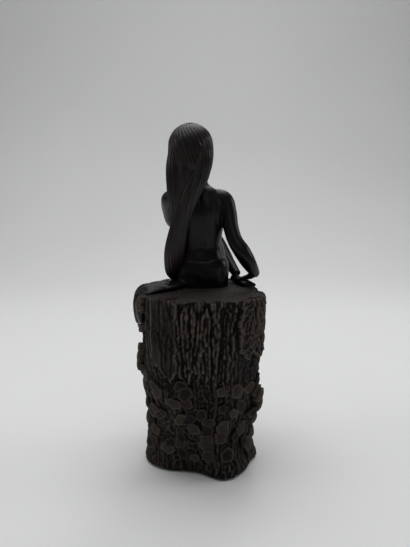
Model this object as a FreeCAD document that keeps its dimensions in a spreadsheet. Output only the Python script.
"""A seated figure on a tree stump: an okimono carving put together from separately carved blocks.

Millimetres. +Z is up and the origin is on the underside, at the middle of the stump's foot. The
figure faces +Y, so its bare back is on the -Y side. Every block is its own solid. Blocks are glued
face to face and located by hidden dowels.
"""
import FreeCAD, Part
import math
import os
import Sketcher
from FreeCAD import Placement, Rotation, Vector

SIZES = (
    # stump
    ("felt_thickness", 1.5, "felt disc under the stump"),
    ("felt_margin", 10.0, "mean rim of bare wood round the felt"),
    ("trunk_height", 104.5, "stump without its felt"),
    ("foot_radius", 32.0, "mean radius where the stump stands"),
    ("narrow_radius", 29.5, "mean radius at the narrowest level"),
    ("crown_radius", 35.5, "mean radius at the sawn top"),
    ("trunk_lean", 8.0, "how far the top leans towards -Y"),
    ("bark_thickness", 2.2, "how far most bark stands proud"),
    ("bark_overhang", 4.6, "how far the thick bark on the -X side stands proud"),
    ("bark_width", 24.0, "bark slab measured round the stump"),
    ("bark_drop", 36.0, "bark slab measured down from the sawn top"),
    ("leaf_length", 10.0, "ivy leaf along its vein"),
    ("leaf_thickness", 1.4, "how far a leaf stands off the wood"),
    ("bunch_thickness", 4.6, "how far a bunch of leaves stands off"),
    ("stem_width", 2.0, "ivy stem across"),
    ("stem_thickness", 1.1, "how far a stem stands off the wood"),
    # gown
    ("figure_shift", -0.8, "middle of the seat along X"),
    ("figure_back", -5.0, "back of the seat along Y"),
    ("seat_height", 18.0, "seat block, from the stump to the waist joint"),
    ("seat_width", 34.6, "seat block across the hips"),
    ("seat_depth", 24.0, "seat block front to back"),
    ("lap_length", 33.0, "from the middle of the seat to the knees"),
    ("knee_height", 33.0, "raised right knee above the stump"),
    ("thigh_radius", 8.6, "thigh under the cloth"),
    ("fall_width", 31.0, "hem of the cloth in front of the stump"),
    ("fall_thickness", 9.5, "that cloth with its folds"),
    ("fall_drop", 39.0, "its hem below the sawn top"),
    ("train_thickness", 3.6, "cloth that lies over the stump's side"),
    ("train_width", 20.0, "widest part of that cloth"),
    ("train_drop", 18.0, "its end below the sawn top"),
    # figure
    ("torso_height", 43.0, "waist joint to neck joint"),
    ("chest_width", 28.8, "ribcage side to side"),
    ("chest_depth", 19.6, "ribcage front to back"),
    ("neck_radius", 4.3, "neck"),
    ("neck_length", 7.0, "neck joint to chin"),
    ("head_depth", 22.0, "bare head front to back"),
    ("head_height", 23.4, "bare head, chin to crown"),
    ("head_lean", 5.0, "how far the head is carried towards -X"),
    ("hair_thickness", 3.0, "hair over the head"),
    ("lock_width", 11.6, "long lock that lies on the back"),
    ("lock_thickness", 8.4, "that lock through its depth"),
    ("arm_radius", 4.3, "arm"),
    ("hand_width", 7.6, "hand across the knuckles"),
    ("finger_length", 8.0, "finger past the knuckles"),
    ("calf_radius", 5.0, "lower leg"),
    ("foot_length", 20.0, "heel to toes"),
    ("foot_width", 7.4, "foot across the ball"),
    # dowels
    ("large_dowel_radius", 2.5, "dowels that hold the figure on the stump"),
    ("large_dowel_length", 22.0, "those dowels"),
    ("small_dowel_radius", 1.2, "dowels in the figure"),
    ("small_dowel_length", 9.0, "those dowels"),
    ("dowel_play", 0.05, "clearance round and beyond a dowel"),
    ("dowel_chamfer", 0.4, "bevel at a dowel's ends"),
)

doc = FreeCAD.newDocument("SeatedFigure")
sheet = doc.addObject("Spreadsheet::Sheet", "Sizes")
for row, (alias, value, note) in enumerate(SIZES, start=1):
    sheet.set(f"A{row}", note)
    sheet.set(f"B{row}", str(value))
    sheet.setAlias(f"B{row}", alias)
doc.recompute()

nodes = []


def size(alias):
    """Value of one cell of the sheet."""
    return float(sheet.get(alias))


def node(name, made):
    """Name a finished block; the label is also the name of its file."""
    made.Label = name
    nodes.append(made)
    return made


def feature(name, shape):
    """Document object for a shape that no single feature makes."""
    made = doc.addObject("Part::Feature", name)
    made.Shape = shape
    return made


def between(start, end, share):
    """Point part of the way from start to end."""
    return start + (end - start) * share


def bowed(start, end, shares, unit):
    """Path from start to end whose points leave the straight line by (x, y, z) shares of unit."""
    path = [start]
    for along, x, y, z in shares:
        path.append(between(start, end, along) + Vector(x, y, z) * unit)
    path.append(end)
    return path


def smooth_curve(points):
    """Spline through the points."""
    curve = Part.BSplineCurve()
    curve.interpolate(points)
    return curve


def smooth_outline(points):
    """Closed smooth wire through the points."""
    curve = Part.BSplineCurve()
    curve.interpolate(points, PeriodicFlag=True)
    return Part.Wire([curve.toShape()])


def section(name, centre, facing, across, wide, deep):
    """Ellipse square to facing. wide, its half-width along across, and deep are expressions."""
    ellipse = doc.addObject("Part::Ellipse", name)
    ellipse.setExpression("MajorRadius", wide)
    ellipse.setExpression("MinorRadius", deep)
    normal = Vector(facing).normalize()
    sideways = across - normal * normal.dot(across)
    ellipse.Placement = Placement(centre, Rotation(sideways, normal.cross(sideways), normal, "ZXY"))
    return ellipse


def loft(name, sections):
    """Smooth solid through the sections."""
    made = doc.addObject("Part::Loft", name)
    made.Sections = sections
    made.Solid = True
    made.Ruled = False
    return made


def limb(name, points, across, wide_cell, deep_cell, radius_shares):
    """Rod along a smooth path through points, with one ellipse square to the path at each of them.

    radius_shares holds a half-width and a half-depth for each point, as shares of the two cells.
    """
    curve = smooth_curve(points)
    sections = []
    for place, (point, (wide, deep)) in enumerate(zip(points, radius_shares)):
        facing = curve.tangent(curve.parameter(point))[0]
        sections.append(section(
            f"{name}_section_{place}", point, facing, across,
            f"Sizes.{wide_cell} * {wide}", f"Sizes.{deep_cell} * {deep}"))
    return loft(name, sections)


def fused(name, parts):
    """One solid from several."""
    made = doc.addObject("Part::MultiFuse", name)
    made.Shapes = parts
    return made


def less(base, *tools):
    """Base with each tool's volume taken away, which seats it against those neighbours."""
    rest = base
    for place, tool in enumerate(tools):
        whole = rest
        rest = doc.addObject("Part::Cut", f"{base.Name}_seated_{place}")
        rest.Base = whole
        rest.Tool = tool
    return rest


def dowel(name, centre, axis, kind):
    """Turned dowel, bevelled at both ends, with the hole that both blocks get for it."""
    turn = Rotation(Vector(0, 0, 1), axis)
    body = doc.addObject("PartDesign::Body", f"{name}_body")
    sketch = body.newObject("Sketcher::SketchObject", f"{name}_sketch")
    plane = next(item for item in body.Origin.OriginFeatures if item.Role == "XY_Plane")
    sketch.AttachmentSupport = [(plane, "")]
    sketch.MapMode = "FlatFace"
    sketch.addGeometry(Part.Circle(Vector(0, 0, 0), Vector(0, 0, 1), size(f"{kind}_dowel_radius")))
    rim = sketch.addConstraint(Sketcher.Constraint("Radius", 0, size(f"{kind}_dowel_radius")))
    sketch.addConstraint(Sketcher.Constraint("Coincident", 0, 3, -1, 1))
    sketch.setExpression(f"Constraints[{rim}]", f"Sizes.{kind}_dowel_radius")
    pad = body.newObject("PartDesign::Pad", f"{name}_pad")
    pad.Profile = sketch
    pad.Midplane = True
    pad.setExpression("Length", f"Sizes.{kind}_dowel_length")
    doc.recompute()
    bevel = body.newObject("PartDesign::Chamfer", f"{name}_bevel")
    rims = [f"Edge{place}" for place, edge in enumerate(pad.Shape.Edges, start=1) if edge.isClosed()]
    bevel.Base = (pad, rims)
    bevel.setExpression("Size", "Sizes.dowel_chamfer")
    body.Placement = Placement(centre, turn)
    node(name, body)
    hole = doc.addObject("Part::Cylinder", f"{name}_hole")
    hole.setExpression("Radius", f"Sizes.{kind}_dowel_radius + Sizes.dowel_play")
    hole.setExpression("Height", f"Sizes.{kind}_dowel_length + 2 * Sizes.dowel_play")
    deep_end = Vector(0, 0, -size(f"{kind}_dowel_length") / 2 - size("dowel_play"))
    hole.Placement = Placement(centre + turn.multVec(deep_end), turn)
    return hole


# Levels and places that the blocks share
stump_top = size("felt_thickness") + size("trunk_height")
waist_level = stump_top + size("seat_height")
neck_level = waist_level + size("torso_height")
chin_level = neck_level + size("neck_length")
hips = Vector(size("figure_shift"), size("figure_back") + size("seat_depth") / 2, stump_top)
X, Y, Z = Vector(1, 0, 0), Vector(0, 1, 0), Vector(0, 0, 1)


# Stump: lobed and fluted, leaning a little, with shares of its mean radius counterclockwise from +X
FOOT_SHARES = (1.06, .97, 1.08, 1.03, .94, 1.06, .97, 1.07, 1.07, 1.03, .9, .76, .8, 1.12, 1.06, .99)
NARROW_SHARES = (.98, .97, 1.04, .97, .97, 1.04, .96, 1.0, 1.03, 1.03, .97, .92, .94, 1.05, 1.01, 1.03)
CROWN_SHARES = (.91, .92, 1.1, 1.1, 1.0, .96, 1.0, .98, .91, .96, 1.08, 1.02, .97, 1.0, 1.03, 1.04)
# Level, lean, and the part of foot, narrow and crown outline that shapes it, as shares
LEVEL_SHARES = (
    (0, 0, 1, 0, 0), (.09, .05, .45, .55, 0), (.23, .2, 0, 1, 0),
    (.49, .5, 0, .3, .7), (.75, .78, 0, .1, .9), (1, 1, 0, 0, 1),
)


def trunk_form(name, proud):
    """The stump's form, or the same form standing proud of it all round."""
    outlines = []
    turns = len(FOOT_SHARES)
    for height, lean, foot, narrow, crown in LEVEL_SHARES:
        points = []
        for place in range(turns):
            radius = proud + foot * size("foot_radius") * FOOT_SHARES[place]
            radius += narrow * size("narrow_radius") * NARROW_SHARES[place]
            radius += crown * size("crown_radius") * CROWN_SHARES[place]
            angle = 2 * math.pi * place / turns
            points.append(Vector(
                radius * math.cos(angle),
                radius * math.sin(angle) - lean * size("trunk_lean"),
                size("felt_thickness") + height * size("trunk_height")))
        outlines.append(smooth_outline(points))
    return feature(name, Part.makeLoft(outlines, True, False))


def facing_out(direction, height_share):
    """Point on the stump's axis, with the outward and sideways directions there."""
    angle = math.radians(direction)
    lean = max(height_share - .05, 0) * size("trunk_lean")
    centre = Vector(0, -lean, size("felt_thickness") + height_share * size("trunk_height"))
    return centre, Vector(math.cos(angle), math.sin(angle), 0), Vector(-math.sin(angle), math.cos(angle), 0)


def on_bark(direction, height_share):
    """Point where a level line outwards from the axis leaves the wood."""
    centre, outward, _ = facing_out(direction, height_share)
    line = Part.makeLine(centre, centre + outward * (2 * size("crown_radius"))).common(trunk.Shape)
    return max((vertex.Point for vertex in line.Vertexes), key=lambda point: point.distanceToPoint(centre))


felt = doc.addObject("Part::Cylinder", "Felt")
felt.setExpression("Radius", "Sizes.foot_radius - Sizes.felt_margin")
felt.setExpression("Height", "Sizes.felt_thickness")
node("base_felt", felt)

trunk = trunk_form("Trunk", 0)

# Bark slabs. Direction in degrees from +X, width and drop as shares, and the ragged lower edge as
# (across, down) shares of that width and drop
SLAB_SHARES = {
    "bark_slab_left": ("bark_overhang", 187, 1.25, .8, (
        (0, .9), (.12, 1), (.25, .86), (.42, .8), (.6, .55), (.75, .48), (.88, .3), (1, .25))),
    "bark_slab_right": ("bark_thickness", 328, 1.1, 1.0, (
        (0, .8), (.13, .95), (.22, .78), (.4, 1), (.55, .84), (.7, .93), (.86, .7), (1, .76))),
    "bark_panel_back": ("bark_thickness", 242, .85, 1.35, (
        (0, .78), (.3, .9), (.62, 1), (1, .96))),
    "bark_comb_back": ("bark_thickness", 285, 1.0, 1.4, (
        (0, .8), (.1, .86), (.12, .2), (.17, .2), (.18, .95), (.28, 1), (.3, .24), (.35, .24),
        (.36, .9), (.46, .82), (.48, .3), (.53, .3), (.55, 1), (.66, .93), (.68, .22), (.73, .22),
        (.74, .88), (.84, .95), (.86, .28), (.9, .28), (.92, .8), (1, .7))),
    "bark_slab_front_right": ("bark_thickness", 32, 1.2, 1.15, (
        (0, .7), (.2, .95), (.32, .8), (.5, 1), (.7, .75), (.84, .82), (1, .6))),
    "bark_slab_front_left": ("bark_thickness", 131, 1.0, .95, (
        (0, .75), (.16, .6), (.36, .9), (.52, 1), (.66, .8), (.86, .92), (1, .7))),
}
bark = {cell: less(trunk_form(f"Proud_{cell}", size(cell)), trunk)
        for cell in ("bark_thickness", "bark_overhang")}


def bark_slab(name, thickness_cell, direction, width_share, drop_share, edge_shares):
    """Slab of bark with a ragged lower edge, as thick as its cell says."""
    centre, outward, sideways = facing_out(direction, 1)
    width = width_share * size("bark_width")
    drop = drop_share * size("bark_drop")
    corners = [centre + sideways * (width * (across - .5)) - Z * (drop * down) for across, down in edge_shares]
    corners += [centre + sideways * (width / 2), centre - sideways * (width / 2), corners[0]]
    blade = Part.Face(Part.makePolygon(corners)).extrude(outward * (2 * size("crown_radius")))
    made = doc.addObject("Part::Common", f"{name}_form")
    made.Base = bark[thickness_cell]
    made.Tool = feature(f"{name}_outline", blade)
    return made


slabs = {name: bark_slab(name, *shape) for name, shape in SLAB_SHARES.items()}
doc.recompute()

# Ivy: stems that climb the wood, lobed leaves, and two bunches of leaves that stand further off
LEAF_SHARES = ((0, -.3), (.42, -.42), (.5, .02), (.2, .12), (0, .5), (-.2, .12), (-.5, .02), (-.42, -.42))
LEAF_ROW_SHARES = (.14, .28, .42)
LEAVES_IN_ROW = 7
# Direction in degrees, height share and turn in degrees of each leaf in the two bunches
BUNCH_SHARES = ((194, .63, 20), (186, .54, -35), (338, .42, -20), (344, .32, 40))
# Direction in degrees, then (across, down) shares of the bark's width and drop up one edge of a stem
STEM_SHARES = (
    (288, ((-.1, 2.6), (.02, 2.2), (-.06, 1.8), (.04, 1.5))),
    (205, ((-.14, 2.5), (.1, 2.1), (-.04, 1.7), (.06, 1.45))),
    (60, ((.12, 2.6), (-.06, 2.15), (.1, 1.7), (-.02, 1.5))),
    (125, ((-.1, 2.55), (.08, 2.1), (-.08, 1.75), (.04, 1.5))),
)


def leaf(direction, height_share, turn, stand_off):
    """Lobed leaf that faces outwards and runs back into the wood."""
    root = on_bark(direction, height_share)
    _, outward, sideways = facing_out(direction, height_share)
    twist = Rotation(outward, turn)
    depth = size("leaf_length") * .3
    corners = [
        root - outward * depth + twist.multVec(sideways * across + Z * along) * size("leaf_length")
        for across, along in LEAF_SHARES]
    return Part.Face(Part.makePolygon(corners + corners[:1])).extrude(outward * (depth + stand_off))


def stem(direction, edge_shares):
    """Blade that cuts one stem out of a layer over the wood."""
    centre, outward, sideways = facing_out(direction, 1)
    edge = [centre + sideways * (across * size("bark_width")) - Z * (down * size("bark_drop"))
            for across, down in edge_shares]
    other_edge = [point + sideways * size("stem_width") for point in reversed(edge)]
    outline = Part.makePolygon(edge + other_edge + edge[:1])
    return Part.Face(outline).extrude(outward * (2 * size("crown_radius")))


leaf_solids = []
for row, height in enumerate(LEAF_ROW_SHARES):
    for place in range(LEAVES_IN_ROW):
        direction = 360 * (place + .5 * (row % 2)) / LEAVES_IN_ROW
        turn = 40 * math.sin(2.4 * (row * LEAVES_IN_ROW + place))
        leaf_solids.append(leaf(direction, height, turn, size("leaf_thickness")))
leaf_solids += [leaf(*place, size("bunch_thickness")) for place in BUNCH_SHARES]
leaves = node("ivy_leaves", feature("Leaves", Part.makeCompound(leaf_solids).cut(trunk.Shape)))
stem_layer = trunk_form("Stem_layer", size("stem_thickness")).Shape.cut(trunk.Shape)
stems = feature("Stems", Part.makeCompound([stem(*shape) for shape in STEM_SHARES]).common(stem_layer))
node("ivy_stems", less(stems, leaves))

# Seat of the gown: half-width and half-depth shares at each level share
SEAT_SHARES = ((0, .965, 1), (.33, 1, 1.015), (.67, 1.005, 1), (.84, .99, .97), (1, .86, .88))
seat = loft("Seat", [
    section(f"Seat_section_{place}", hips + Z * (level * size("seat_height")), Z, X,
            f"Sizes.seat_width / 2 * {wide}", f"Sizes.seat_depth / 2 * {deep}")
    for place, (level, wide, deep) in enumerate(SEAT_SHARES)])

# Lap: the gown drawn over a raised right thigh and a level left one
right_hip = hips + X * (size("thigh_radius") * .95) + Z * (size("seat_height") * .6)
left_hip = hips - X * (size("thigh_radius") * .95) + Z * (size("seat_height") * .52)
right_knee = hips + X * (size("thigh_radius") * .4) + Y * size("lap_length") + Z * size("knee_height")
left_knee = left_hip + Y * (size("lap_length") * .97) - Z * (size("thigh_radius") * .1)
THIGH_SHARES = ((1, .9), (1, .92), (.86, .84), (.74, .74), (.36, .36))


def thigh(name, hip, knee):
    """Cloth over one thigh, rounded off past the knee."""
    past_knee = knee + (knee - hip).normalize() * (size("thigh_radius") * .62)
    points = [hip, between(hip, knee, .35), between(hip, knee, .75), knee, past_knee]
    return limb(name, points, X, "thigh_radius", "thigh_radius", THIGH_SHARES)


thighs = fused("Thighs", [
    thigh("Right_thigh", right_hip, right_knee),
    thigh("Left_thigh", left_hip, left_knee),
    thigh("Between_thighs", between(left_hip, right_hip, .5), between(left_knee, right_knee, .45))])

# Legs below the cloth: the right one folded back to the seat, the left one hanging down
right_ankle = hips + X * (size("seat_width") * .655) + Y * (size("lap_length") * .2) + Z * (size("calf_radius") * 1)
left_ankle = left_knee + X * (size("calf_radius") * .4) - Z * (size("fall_drop") + size("calf_radius"))
right_leg = limb(
    "Right_leg",
    bowed(right_knee, right_ankle, ((.42, .1, .3, .1), (.74, .1, .1, 0)), size("calf_radius")),
    X, "calf_radius", "calf_radius", ((1, 1), (.98, .96), (.7, .7), (.54, .54)))
left_leg = limb(
    "Left_leg",
    bowed(left_knee, left_ankle, ((.4, 0, -.3, 0), (.75, 0, -.1, 0)), size("calf_radius")),
    X, "calf_radius", "calf_radius", ((1.1, 1), (1, 1), (.66, .64), (.52, .52)))


def foot(name, heel, toes, across):
    """Bare foot from the heel to the toes."""
    points = [between(heel, toes, share) for share in (0, .28, .7, 1)]
    return limb(name, points, across, "foot_width", "foot_width",
                ((.3, .26), (.36, .34), (.5, .24), (.36, .13)))


right_heel = right_ankle - Z * (size("calf_radius") * .55) - X * (size("foot_length") * .1) + Y * (size("foot_length") * .1)
right_toes = right_heel + Vector(.62, -.78, -.01) * size("foot_length")
left_heel = left_ankle - Z * (size("calf_radius") * .5) - Y * (size("foot_length") * .14)
left_toes = left_heel + Vector(.05, .86, -.5) * size("foot_length")
right_foot = foot("Right_foot", right_heel, right_toes, Vector(.78, .62, 0))
left_foot = foot("Left_foot", left_heel, left_toes, X)

# Cloth that hangs from the knees in front of the stump: level, sideways shift, half-width and
# half-depth as shares of its drop from the raised knee, its width and its thickness
FALL_SHARES = (
    (0, .14, .25, .36), (.25, 0, .4, .48), (.5, -.02, .44, .48), (.75, -.03, .47, .5), (1, -.04, .5, .53),
)
fall_top = Vector(left_knee.x / 2, left_knee.y, right_knee.z - .3 * size("thigh_radius"))
fall_hem = Vector(left_knee.x / 2, left_knee.y, stump_top - size("fall_drop"))
fall = loft("Fall", [
    section(f"Fall_section_{place}",
            between(fall_top, fall_hem, level) + X * (shift * size("fall_width")), Z, X,
            f"Sizes.fall_width * {wide}", f"Sizes.fall_thickness * {deep}")
    for place, (level, shift, wide, deep) in enumerate(FALL_SHARES)])

# Cloth that trails from the seat over the stump's edge on the -X side and down its bark
rim_point = hips + Vector(-.88, -.58, .02) * size("crown_radius")
train_path = [
    hips + Vector(-.3 * size("seat_width"), -.3 * size("seat_depth"), .7 * size("train_thickness")),
    between(hips, rim_point, .55) + Z * (size("train_thickness") * .5),
    between(hips, rim_point, .82) + Z * (size("train_thickness") * .45),
    rim_point,
    rim_point + Vector(-.06 * size("crown_radius"), -.03 * size("crown_radius"), -.28 * size("train_drop")),
    rim_point + Vector(-.075 * size("crown_radius"), -.035 * size("crown_radius"), -.64 * size("train_drop")),
    rim_point + Vector(-.07 * size("crown_radius"), -.035 * size("crown_radius"), -size("train_drop")),
]
train = limb("Train", train_path, Vector(-.3, .95, 0), "train_width", "train_thickness", (
    (.3, .6), (.38, .66), (.44, .66), (.46, .66), (.4, .6), (.36, .56), (.26, .44)))

# Torso: level, half-width, half-depth and middle along Y as shares of its height, width and depth
TORSO_SHARES = (
    (0, 1.01, 1.06, -.07), (.12, .875, .88, -.07), (.26, .91, .88, -.11), (.42, .97, .96, -.14),
    (.58, 1, 1, -.16), (.72, .985, .9, -.17), (.84, .81, .735, -.15), (.92, .515, .59, -.12),
)
waist = hips + Z * size("seat_height")
neck_base = waist - Y * (.08 * size("chest_depth")) + Z * size("torso_height")
torso_sections = [
    section(f"Torso_section_{place}",
            waist + Y * (back * size("chest_depth")) + Z * (level * size("torso_height")), Z, X,
            f"Sizes.chest_width / 2 * {wide}", f"Sizes.chest_depth / 2 * {deep}")
    for place, (level, wide, deep, back) in enumerate(TORSO_SHARES)]
torso_sections.append(section("Torso_neck", neck_base, Z, X, "Sizes.neck_radius * 1.1", "Sizes.neck_radius * 1.1"))
torso = loft("Torso", torso_sections)

# Head: level, half-width, half-depth and middle along Y as shares of its height and depth
HEAD_SHARES = (
    (0, .2, .25, .2), (.05, .28, .36, .12), (.2, .36, .45, .04), (.4, .41, .49, .01), (.6, .43, .5, 0),
    (.8, .39, .46, -.02), (.93, .25, .31, -.03), (1, .06, .08, -.03),
)
chin = neck_base - X * size("head_lean") + Z * size("neck_length")
skull = loft("Skull", [
    section(f"Skull_section_{place}",
            chin + Y * (ahead * size("head_depth")) + Z * (level * size("head_height")), Z, Y,
            f"Sizes.head_depth * {deep}", f"Sizes.head_depth * {wide}")
    for place, (level, wide, deep, ahead) in enumerate(HEAD_SHARES)])
neck = limb("Neck", [neck_base, between(neck_base, chin, .5), chin + Z * (.3 * size("head_height"))],
            X, "neck_radius", "neck_radius", ((1.1, 1.1), (1, 1), (1, 1)))
brow = chin + Y * (.47 * size("head_depth")) + Z * (.5 * size("head_height"))
nose_tip = brow + Y * (.045 * size("head_depth")) - Z * (.2 * size("head_height"))
nose = limb("Nose", [brow - Y * (.04 * size("head_depth")), between(brow, nose_tip, .6), nose_tip],
            X, "head_depth", "head_depth", ((.035, .03), (.05, .035), (.065, .04)))
head_form = fused("Head_form", [skull, neck, nose])

# Hair over the head: level share of the head's height, then half-width and half-depth as shares of
# the head's depth, to which the hair's thickness is added, and the middle along X and Y
CAP_SHARES = (
    (-.1, .36, .36, -.1, -.14), (0, .39, .385, -.06, -.14), (.26, .42, .41, 0, -.14),
    (.52, .425, .42, 0, -.135), (.76, .37, .365, -.02, -.12), (.92, .24, .235, -.03, -.1),
    (1.05, .06, .055, -.04, -.08), (1.12, -.09, -.095, -.04, -.07),
)
cap = loft("Cap", [
    section(f"Cap_section_{place}",
            chin + Vector(shift, ahead, 0) * size("head_depth") + Z * (level * size("head_height")), Z, X,
            f"Sizes.head_depth * {wide} + Sizes.hair_thickness",
            f"Sizes.head_depth * {deep} + Sizes.hair_thickness")
    for place, (level, wide, deep, shift, ahead) in enumerate(CAP_SHARES)])

# Two falls of hair, as shares of the torso's height, from the nape down
nape = chin - Y * (.35 * size("head_depth")) + Z * (.1 * size("head_height"))
LOCK_PATH_SHARES = (
    (.17, 0, .09), (.11, -.05, -.14), (-.01, -.075, -.37), (-.1, -.065, -.63), (-.16, -.045, -.86),
    (-.22, -.02, -1.14), (-.245, .02, -1.4), (-.245, .04, -1.49),
)
LOCK_SHARES = (
    (.4, .4), (.46, .44), (.45, .48), (.43, .48), (.45, .46), (.5, .44), (.4, .38), (.2, .2),
)
SIDE_PATH_SHARES = ((-.17, .1, .19), (-.2, .03, -.05), (-.2, -.02, -.28), (-.21, -.02, -.51), (-.25, .03, -.77))
SIDE_SHARES = ((.46, .4), (.52, .42), (.44, .4), (.27, .34), (.1, .12))


def hair_fall(name, path_shares, section_shares):
    """Fall of hair through points set out from the nape."""
    points = [nape + Vector(*shares) * size("torso_height") for shares in path_shares]
    return limb(name, points, X, "lock_width", "lock_thickness", section_shares)


lock = hair_fall("Long_lock", LOCK_PATH_SHARES, LOCK_SHARES)
side_fall = hair_fall("Side_fall", SIDE_PATH_SHARES, SIDE_SHARES)

# Arms and hands. The right hand holds the right foot on the stump, the left one lies on the knee
shoulder_level = waist.z + .78 * size("torso_height")
right_shoulder = Vector(waist.x + .42 * size("chest_width"), waist.y - .12 * size("chest_depth"), shoulder_level)
left_shoulder = Vector(waist.x - .42 * size("chest_width"), waist.y - .12 * size("chest_depth"), shoulder_level)
instep = between(right_heel, right_toes, .66) + Z * (.28 * size("foot_width"))
right_wrist = instep + Vector(.55, -.6, .5) * size("hand_width")
knee_top = right_knee + Z * (.82 * size("thigh_radius"))
left_wrist = knee_top + Vector(-.92, -.75, .14) * size("hand_width")
right_arm_form = limb(
    "Right_arm",
    bowed(right_shoulder, right_wrist, (
        (.06, .75, 0, .15), (.2, .62, -.15, 0), (.38, -.05, -.65, 0), (.56, -.35, -1.15, 0),
        (.7, .05, -1.4, 0), (.84, .3, -.9, 0)), size("arm_radius")),
    Y, "arm_radius", "arm_radius",
    ((1.1, 1.1), (1.14, 1.06), (1.04, .96), (.98, .92), (1, .92), (1.12, 1.02), (1.06, .94), (.8, .68)))
left_arm_form = limb(
    "Left_arm",
    bowed(left_shoulder, left_wrist, (
        (.12, -1.55, -.5, .2), (.32, -2.1, .4, -1.1), (.55, -2.1, 1.2, -2.4), (.78, -1.3, .8, -1.4)),
        size("arm_radius")),
    X, "arm_radius", "arm_radius", ((1.1, 1.1), (1.08, 1.04), (.9, .9), (.86, .84), (.84, .78), (.7, .58)))

# Fingers and thumb: start across the palm, spread at the tip, length and radius as shares
FINGER_SHARES = ((-.39, -.5, .82, .15), (-.13, -.16, 1, .16), (.13, .16, .96, .155), (.38, .48, .76, .14))


def hand(name, wrist, knuckles, reach, across):
    """Palm with four fingers and a thumb, laid over what it holds.

    reach is the way that the fingers point, and across is the way from the little finger to the first.
    """
    width, length = size("hand_width"), size("finger_length")
    pieces = [limb(f"{name}_palm", [wrist, between(wrist, knuckles, .5), knuckles], across,
                   "hand_width", "hand_width", ((.34, .26), (.46, .22), (.48, .18)))]
    for place, (start, spread, long_share, radius) in enumerate(FINGER_SHARES):
        root = knuckles + across * (start * width) - reach * (.12 * length)
        tip = knuckles + across * (spread * width) + reach * (long_share * length) - Z * (.16 * length)
        pieces.append(limb(f"{name}_finger_{place}", [root, between(root, tip, .5) + Z * (.06 * length), tip],
                           across, "hand_width", "hand_width", ((radius, radius), (radius, radius), (.1, .1))))
    thumb_root = between(wrist, knuckles, .35) + across * (.34 * width)
    thumb_tip = knuckles + across * (.85 * width) + reach * (.1 * length) - Z * (.1 * length)
    pieces.append(limb(f"{name}_thumb", [thumb_root, between(thumb_root, thumb_tip, .5), thumb_tip],
                       reach, "hand_width", "hand_width", ((.17, .17), (.16, .16), (.1, .1))))
    return fused(name, pieces)


right_knuckles = instep + Vector(.1, .05, .16) * size("hand_width")
right_hand_form = hand("Right_hand", right_wrist, right_knuckles, Vector(-.86, .45, -.25).normalize(),
                       Vector(.45, .88, 0).normalize())
left_knuckles = knee_top + Vector(-.05, .1, .2) * size("hand_width")
left_hand_form = hand("Left_hand", left_wrist, left_knuckles, Vector(.7, .68, -.2).normalize(),
                      Vector(.7, -.7, 0).normalize())

# Dowels and their holes
seat_reach = X * (.24 * size("seat_width"))
right_seat_hole = dowel("seat_dowel_right", hips + seat_reach, Z, "large")
left_seat_hole = dowel("seat_dowel_left", hips - seat_reach, Z, "large")
waist_hole = dowel("waist_dowel", waist - Y * (.07 * size("chest_depth")), Z, "small")
neck_hole = dowel("neck_dowel", neck_base, Z, "small")
shoulder_reach = X * (.05 * size("chest_width"))
right_shoulder_hole = dowel("shoulder_dowel_right", right_shoulder + shoulder_reach, X, "small")
left_shoulder_hole = dowel("shoulder_dowel_left", left_shoulder - shoulder_reach, X, "small")
doc.recompute()

# Each block seated against what carries it
for name, slab in slabs.items():
    node(name, slab)
node("stump_trunk", less(trunk, right_seat_hole, left_seat_hole))
seat_block = node("hip_block", less(seat, right_seat_hole, left_seat_hole, waist_hole))
lap = node("gown_lap", less(thighs, trunk, seat, torso))
right_shin = node("right_lower_leg", less(right_leg, lap, trunk, seat))
left_shin = node("left_lower_leg", less(left_leg, lap, trunk))
right_sole = node("right_foot", less(right_foot, right_leg, trunk, lap))
node("left_foot", less(left_foot, left_leg))
node("gown_fall", less(fall, thighs, left_leg, left_foot, trunk, slabs["bark_slab_front_right"], slabs["bark_slab_front_left"]))
train_block = node("gown_train", less(train, seat, trunk, bark["bark_thickness"], bark["bark_overhang"]))
chest = node("torso", less(torso, waist_hole, neck_hole, right_shoulder_hole, left_shoulder_hole))
head = node("head", less(head_form, neck_hole))
hair = node("hair_crown", less(cap, head_form, torso))
right_arm = node("right_arm", less(right_arm_form, torso, right_shoulder_hole))
left_arm = node("left_arm", less(left_arm_form, torso, left_shoulder_hole, thighs))
node("right_hand", less(right_hand_form, right_arm_form, right_sole, right_leg, trunk))
node("left_hand", less(left_hand_form, left_arm_form, thighs))
back_lock = node("hair_long_lock", less(lock, head_form, torso, cap, seat, right_arm_form, trunk))
node("hair_side_fall", less(side_fall, head_form, torso, cap, lock, left_arm_form))
doc.recompute()

failed = [item.Label for item in doc.Objects if "Invalid" in item.State or "Error" in item.State]
failed += [item.Label for item in nodes if item.Shape.isNull() or not item.Shape.isValid()]
if failed:
    raise RuntimeError(f"these did not build: {failed}")
os.makedirs("parts", exist_ok=True)
for item in nodes:
    item.Shape.exportStep(f"parts/{item.Label}.step")
    print(item.Label, len(item.Shape.Solids), "solids", round(item.Shape.Volume, 1), "mm3")
